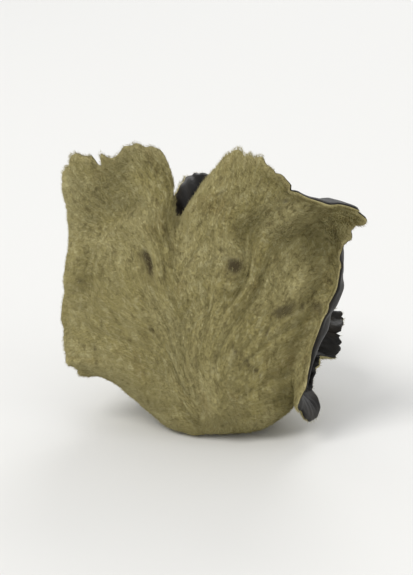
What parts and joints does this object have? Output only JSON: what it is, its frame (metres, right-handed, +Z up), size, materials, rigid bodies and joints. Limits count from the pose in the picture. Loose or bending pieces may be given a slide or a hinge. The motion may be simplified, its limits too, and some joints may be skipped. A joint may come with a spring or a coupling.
{
  "type": "dried wood ear mushroom",
  "caption": "Dried wood ear mushroom: a thin, cupped and crumpled fungus ear, felted and pale outside, smooth and near-black inside, resting on its belly.",
  "frame": {"origin": "centre of the bounding box in X and Y, at the lowest point of the ear", "axes": "+Z up from the belly it rests on, +X to the right along the wide fan, -Y out of the felted face of the fan"},
  "size_m": [0.024, 0.0212, 0.0245],
  "materials": {
    "dried_flesh": "matt felt outside, satin near-black inside"
  },
  "bodies": {
    "root": {"wood_ear": "dried_flesh"}
  },
  "joints": []
}
